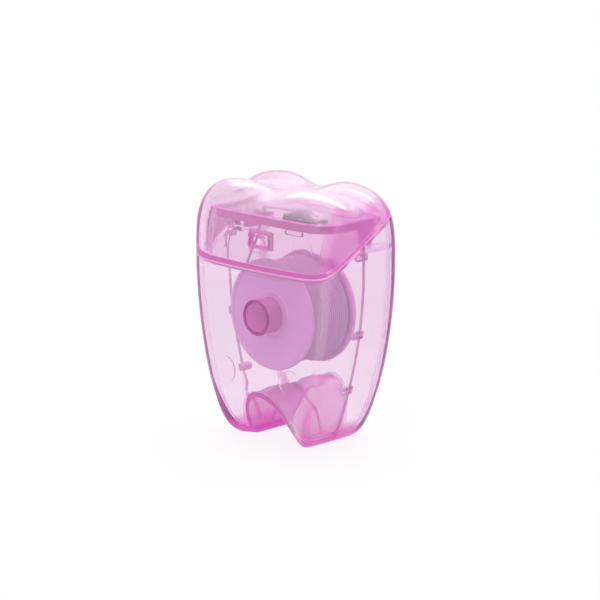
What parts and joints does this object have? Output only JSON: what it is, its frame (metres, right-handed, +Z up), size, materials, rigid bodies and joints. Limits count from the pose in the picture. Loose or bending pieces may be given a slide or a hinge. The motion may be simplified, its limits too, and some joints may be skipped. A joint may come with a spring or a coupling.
{
  "type": "dental floss dispenser",
  "caption": "Tooth-shaped pocket floss dispenser: a clear tinted case with a hinged crown lid, a bobbin of floss on a hub post, and a deck with a floss outlet and a steel cutter.",
  "frame": {"origin": "on the ground under the middle of the case, at the bottom centre of its box", "axes": "+Z up from the root tips to the crown, +Y toward the hinge at the rear, +X to the right as seen from the front"},
  "size_m": [0.0356, 0.0226, 0.0487],
  "materials": {
    "case": "gloss",
    "lid": "gloss",
    "bobbin": "satin",
    "floss": "waxed",
    "steel": "satin"
  },
  "bodies": {
    "case": {"front_shell": "case", "rear_shell": "case", "top_deck": "case", "cutter": "steel", "floss_strand": "floss"},
    "lid": {"crown_lid": "lid"},
    "spool": {"bobbin": "bobbin", "floss_package": "floss", "floss_outer_turns": "floss"}
  },
  "joints": [
    {"name": "lid_hinge", "type": "hinge", "parent": "case", "child": "lid", "pos_m": [0, 0.0104, 0.04472], "axis": [-1, 0, 0], "range_deg": [0, 125]},
    {"name": "spool_spin", "type": "hinge", "parent": "case", "child": "spool", "pos_m": [0, -0.0005, 0.0242], "axis": [0, 1, 0], "continuous": true}
  ]
}
